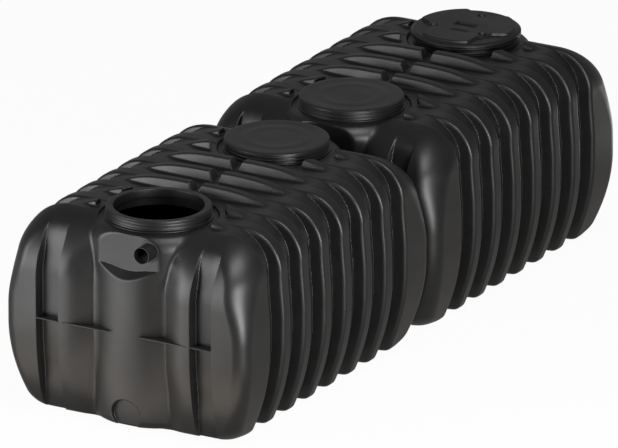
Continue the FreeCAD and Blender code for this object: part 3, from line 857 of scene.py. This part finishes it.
lid_mesh = turned_mesh("screw_lid_cap", [
    (0.0, LID_SKIRT, EDGE_SHARP),
    (LID_BORE, LID_SKIRT, EDGE_SHARP),
    (LID_BORE, 0.0, EDGE_CRISP),
    (LID_RADIUS - HEM_IN, 0.0, EDGE_EASED),
    (LID_RADIUS - HEM_IN, HEM_TOP, EDGE_CRISP),
    (LID_RADIUS, LOWER_RING[0], EDGE_EASED),
    (LID_RADIUS, LOWER_RING[1], EDGE_EASED),
    (LID_RADIUS - RING_GAP_IN, RING_GAP[0], EDGE_CRISP),
    (LID_RADIUS - RING_GAP_IN, RING_GAP[1], EDGE_CRISP),
    (LID_RADIUS, UPPER_RING[0], EDGE_EASED),
    (LID_RADIUS, UPPER_RING[1], EDGE_SOFT),
    (LID_RADIUS - RIM_SLANT, LID_TOP, RIM_ROUND),
] + [(radius, LID_TOP, EDGE_SHARP) for radius in np.linspace(LID_RADIUS - PLATE_IN, 0.0, LID_RINGS)],
    lid_middle, sides=LID_SIDES)


def platform_height(across, along):
    """Height of the lid's raised platform above its plate."""
    angle = np.arctan2(along, across) - math.pi / 2
    edge = PLATFORM_REACH - SCALLOP * smooth_step(0.0, SCALLOP_FULL, np.cos(LID_SCREWS * angle))
    rise = PLATFORM_RISE * smooth_step(edge + STEP_HALF, edge - STEP_HALF, np.hypot(across, along))
    slot = np.maximum(np.abs(across) - GRIP_LENGTH / 2, np.abs(along) - GRIP_WIDTH / 2)
    rise -= GRIP_DEPTH * smooth_step(GRIP_EDGE, -GRIP_EDGE, slot)
    hollow_across = (across - HOLLOW_PLACE[0]) / HOLLOW_SIZE[0]
    hollow_along = (along - HOLLOW_PLACE[1]) / HOLLOW_SIZE[1]
    rise -= HOLLOW_DEPTH * smooth_step(1.0, HOLLOW_FLAT, np.hypot(hollow_across, hollow_along))
    for turn in np.arange(LID_SCREWS) * 2.0 * math.pi / LID_SCREWS + math.pi / 2:
        away = np.hypot(across - SCREW_CIRCLE * np.cos(turn), along - SCREW_CIRCLE * np.sin(turn))
        beyond = smooth_step(SCREW_HOLLOW - HOLLOW_WALL, SCREW_HOLLOW + HOLLOW_WALL, away)
        rise = np.where(away < SCREW_HOLLOW + HOLLOW_WALL, rise * beyond, rise)
    return rise


points = arrays_of(lid_mesh)[0]
on_top = points[:, 2] > lid_middle[2] + LID_TOP - TOP_TOLERANCE
points[on_top, 2] += platform_height(points[on_top, 0] - lid_middle[0], points[on_top, 1] - lid_middle[1])
lid_mesh.vertices.foreach_set("co", points.astype(np.float32).ravel())
lid_mesh.update()
lid_mesh.set_sharp_from_angle(angle=SHARP_TURN)
ride_as(add_object("screw_lid_cap", lid_mesh, lid_plastic), "lid_plastic", "screw_lid")

# Lid screws
# Three plain plastic heads hold the lid's platform. A node tree sets one on each corner of a triangle,
# and they stand on the floors of their hollows.
screw_tree, given, result = new_tree("lid_screw_heads", ["Circle", "Head", "Tall"])
ring = screw_tree.nodes.new("GeometryNodeMeshCircle")
ring.inputs["Vertices"].default_value = LID_SCREWS
screw_tree.links.new(given.outputs["Circle"], ring.inputs["Radius"])
turned = screw_tree.nodes.new("GeometryNodeTransform")
turned.inputs["Rotation"].default_value = (0.0, 0.0, math.pi / 2)
screw_tree.links.new(ring.outputs["Mesh"], turned.inputs["Geometry"])
head = screw_tree.nodes.new("GeometryNodeMeshCylinder")
head.inputs["Vertices"].default_value = SCREW_SIDES
screw_tree.links.new(given.outputs["Head"], head.inputs["Radius"])
screw_tree.links.new(given.outputs["Tall"], head.inputs["Depth"])
spread = screw_tree.nodes.new("GeometryNodeInstanceOnPoints")
screw_tree.links.new(turned.outputs["Geometry"], spread.inputs["Points"])
screw_tree.links.new(head.outputs["Mesh"], spread.inputs["Instance"])
finish_tree(screw_tree, spread.outputs["Instances"], lid_plastic, result)
screw_mesh = made_by(screw_tree, {"Circle": SCREW_CIRCLE, "Head": SCREW_HEAD, "Tall": SCREW_TALL})
shift_mesh(screw_mesh, Vector(lid_middle) + Vector((0.0, 0.0, LID_TOP + SCREW_TALL / 2 - SCREW_LET_IN)))
ride_as(add_object("lid_screw_heads", screw_mesh, lid_plastic), "lid_plastic", "lid_screws")

# Pipes and seals
# The inlet stub and the hidden link pipe are smooth drain pipe; each sits in a rubber ring with a flange
# outside the wall. They are turned from the CAD sizes with softened edges.
PIPE_GLOSS = (0.36, 0.46)
RUBBER_BLACK = (0.010, 0.010, 0.010, 1.0)
RUBBER_FADED = (0.016, 0.016, 0.016, 1.0)
RUBBER_GLOSS = (0.5, 0.6)
pipe_plastic = plastic_material("pipe_plastic", PLASTIC_BLACK, PLASTIC_FADED, PIPE_GLOSS)
seal_rubber = plastic_material("seal_rubber", RUBBER_BLACK, RUBBER_FADED, RUBBER_GLOSS)
PIPE_BORE = 0.051
PIPE_EDGE = 0.0015
SEAL_INNER = 0.054
SEAL_SLEEVE = 0.061
FLANGE_THICK = 0.008
SEAL_LIP_ROUND = 0.0005
PIPE_SIDES = 64
for label in ("inlet_pipe", "link_pipe"):
    low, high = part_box(label)
    middle = ((low[0] + high[0]) / 2, 0.0, (low[2] + high[2]) / 2)
    outer = (high[0] - low[0]) / 2
    mesh = turned_mesh(label + "_tube", [
        (PIPE_BORE, low[1], PIPE_EDGE), (outer, low[1], PIPE_EDGE),
        (outer, high[1], PIPE_EDGE), (PIPE_BORE, high[1], PIPE_EDGE),
    ], middle, axis=1, sides=PIPE_SIDES)
    ride_as(add_object(label + "_tube", mesh, pipe_plastic), "pipe_plastic", label)
for label, side in (("inlet_seal", -1), ("front_link_seal", 1), ("rear_link_seal", -1)):
    low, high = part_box(label)
    middle = ((low[0] + high[0]) / 2, 0.0, (low[2] + high[2]) / 2)
    flange = (high[0] - low[0]) / 2
    outside, inside = (low[1], high[1]) if side < 0 else (high[1], low[1])
    step = outside - side * FLANGE_THICK
    mesh = turned_mesh(label + "_ring", [
        (SEAL_INNER, inside, EDGE_CRISP), (SEAL_SLEEVE, inside, EDGE_CRISP),
        (SEAL_SLEEVE, step, EDGE_SHARP), (flange, step, EDGE_CRISP),
        (flange, outside, EDGE_SOFT), (SEAL_INNER, outside, SEAL_LIP_ROUND),
    ], middle, axis=1, sides=PIPE_SIDES)
    ride_as(add_object(label + "_ring", mesh, seal_rubber), "seal_rubber", label)

# Setting and camera
# A white studio: the floor and the sky show white to the camera. Soft boxes stand at the front, the
# right, above and behind, and low panels throw light back from the floor. Gloss sees only a share of
# the white, which keeps the black plastic dark.
CAMERA_TURN = math.radians(30.0)
CAMERA_RISE = math.radians(19.6)
CAMERA_FAR = 125.0
VIEW_WIDTH = 3.873
LOOK_AT = Vector((-0.029, -0.017, 0.654))
scene = bpy.context.scene
camera_data = bpy.data.cameras.new("camera")
camera_data.lens = camera_data.sensor_width * CAMERA_FAR / VIEW_WIDTH
camera_data.clip_end = 2 * CAMERA_FAR
camera = bpy.data.objects.new("camera", camera_data)
scene.collection.objects.link(camera)
towards = Vector((
    math.cos(CAMERA_RISE) * math.sin(CAMERA_TURN),
    -math.cos(CAMERA_RISE) * math.cos(CAMERA_TURN),
    math.sin(CAMERA_RISE),
))
camera.location = LOOK_AT + towards * CAMERA_FAR
camera.rotation_euler = (-towards).to_track_quat("-Z", "Y").to_euler()
scene.camera = camera
scene.view_settings.view_transform = "Standard"

WHITE = (1.0, 1.0, 1.0, 1.0)
WORLD_LIGHT = (0.10, 0.10, 0.10, 1.0)
GLOSSY_SHARE = 0.10
LAMP_PLAIN = (1.0, 1.0, 1.0)
LAMP_WARM = (1.0, 0.88, 0.76)
LIT_POINT = Vector((0.0, -1.0, 0.7))
SOFTBOX_FAR = 8.0
FLOOR_LIGHT = (0.320, 0.305, 0.290, 1.0)
FLOOR_SHADE = 0.04
FLOOR_PAINT = (0.8, 0.8, 0.8, 1.0)
FLOOR_ROUGH = 0.9


def seen_as_white(nodes, links, socket, light):
    """White to the camera and through glass, a share of it in gloss, a plain light to the rest."""
    path = nodes.new("ShaderNodeLightPath")
    clear = nodes.new("ShaderNodeMath")
    clear.operation = "MAXIMUM"
    links.new(path.outputs["Is Camera Ray"], clear.inputs[0])
    links.new(path.outputs["Is Transmission Ray"], clear.inputs[1])
    gloss = nodes.new("ShaderNodeMath")
    gloss.operation = "MULTIPLY"
    gloss.inputs[1].default_value = GLOSSY_SHARE
    links.new(path.outputs["Is Glossy Ray"], gloss.inputs[0])
    either = nodes.new("ShaderNodeMath")
    either.operation = "MAXIMUM"
    links.new(clear.outputs["Value"], either.inputs[0])
    links.new(gloss.outputs["Value"], either.inputs[1])
    tone = nodes.new("ShaderNodeMix")
    tone.data_type = "RGBA"
    tone.inputs["A"].default_value = light
    tone.inputs["B"].default_value = WHITE
    links.new(either.outputs["Value"], tone.inputs["Factor"])
    links.new(tone.outputs["Result"], socket)


world = bpy.data.worlds.new("studio")
scene.world = world
world.use_nodes = True
nodes, links = world.node_tree.nodes, world.node_tree.links
seen_as_white(nodes, links, nodes["Background"].inputs["Color"], WORLD_LIGHT)


def add_lamp(name, place, aim, across, up, power, color):
    """A soft rectangle of light at a place, turned to face a point."""
    light = bpy.data.lights.new(name, "AREA")
    light.shape = "RECTANGLE"
    light.size = across
    light.size_y = up
    light.energy = power
    light.color = color
    lamp = bpy.data.objects.new(name, light)
    scene.collection.objects.link(lamp)
    lamp.location = place
    lamp.rotation_euler = (Vector(aim) - Vector(place)).to_track_quat("-Z", "Y").to_euler()
    return lamp


for name, azimuth, rise, across, up, power in (
    ("front_softbox", -37.0, 10.0, 5.6, 4.4, 490.0),
    ("right_strip", 58.0, 8.0, 3.0, 4.0, 620.0),
    ("back_softbox", -150.0, 22.0, 6.0, 4.0, 6.0),
    ("top_softbox", 60.0, 60.0, 4.0, 4.0, 320.0),
):
    turn, lift = math.radians(azimuth), math.radians(rise)
    away = Vector((math.cos(lift) * math.sin(turn), -math.cos(lift) * math.cos(turn), math.sin(lift)))
    add_lamp(name, LIT_POINT + away * SOFTBOX_FAR, LIT_POINT, across, up, power, LAMP_PLAIN)
for name, place, aim, across, up, power, color in (
    ("low_panel", (-1.1, -4.1, 0.25), (0.0, -2.3, 0.7), 2.2, 0.5, 14.0, LAMP_PLAIN),
    ("rear_panel", (0.3, 4.1, 0.25), (0.0, 2.3, 0.7), 2.2, 0.5, 10.0, LAMP_PLAIN),
    ("ground_panel", (0.0, -2.9, 0.02), (0.0, -2.9, 1.0), 2.7, 0.7, 10.0, LAMP_WARM),
):
    add_lamp(name, place, aim, across, up, power, color).visible_camera = False

FLOOR_REACH = 30.0
floor_material = bpy.data.materials.new("floor_white")
floor_material.use_nodes = True
nodes, links = floor_material.node_tree.nodes, floor_material.node_tree.links
paint = nodes["Principled BSDF"]
paint.inputs["Base Color"].default_value = FLOOR_PAINT
paint.inputs["Roughness"].default_value = FLOOR_ROUGH
glow = nodes.new("ShaderNodeEmission")
seen_as_white(nodes, links, glow.inputs["Color"], FLOOR_LIGHT)
blend = nodes.new("ShaderNodeMixShader")
blend.inputs["Fac"].default_value = FLOOR_SHADE
links.new(glow.outputs["Emission"], blend.inputs[1])
links.new(paint.outputs["BSDF"], blend.inputs[2])
links.new(blend.outputs["Shader"], nodes["Material Output"].inputs["Surface"])
corners = np.array([[-1, -1, 0], [1, -1, 0], [1, 1, 0], [-1, 1, 0]]) * FLOOR_REACH
floor_mesh = mesh_from("studio_floor", corners, np.array([[0, 1, 2, 3]]))
floor_piece = add_object("studio_floor", floor_mesh, floor_material)
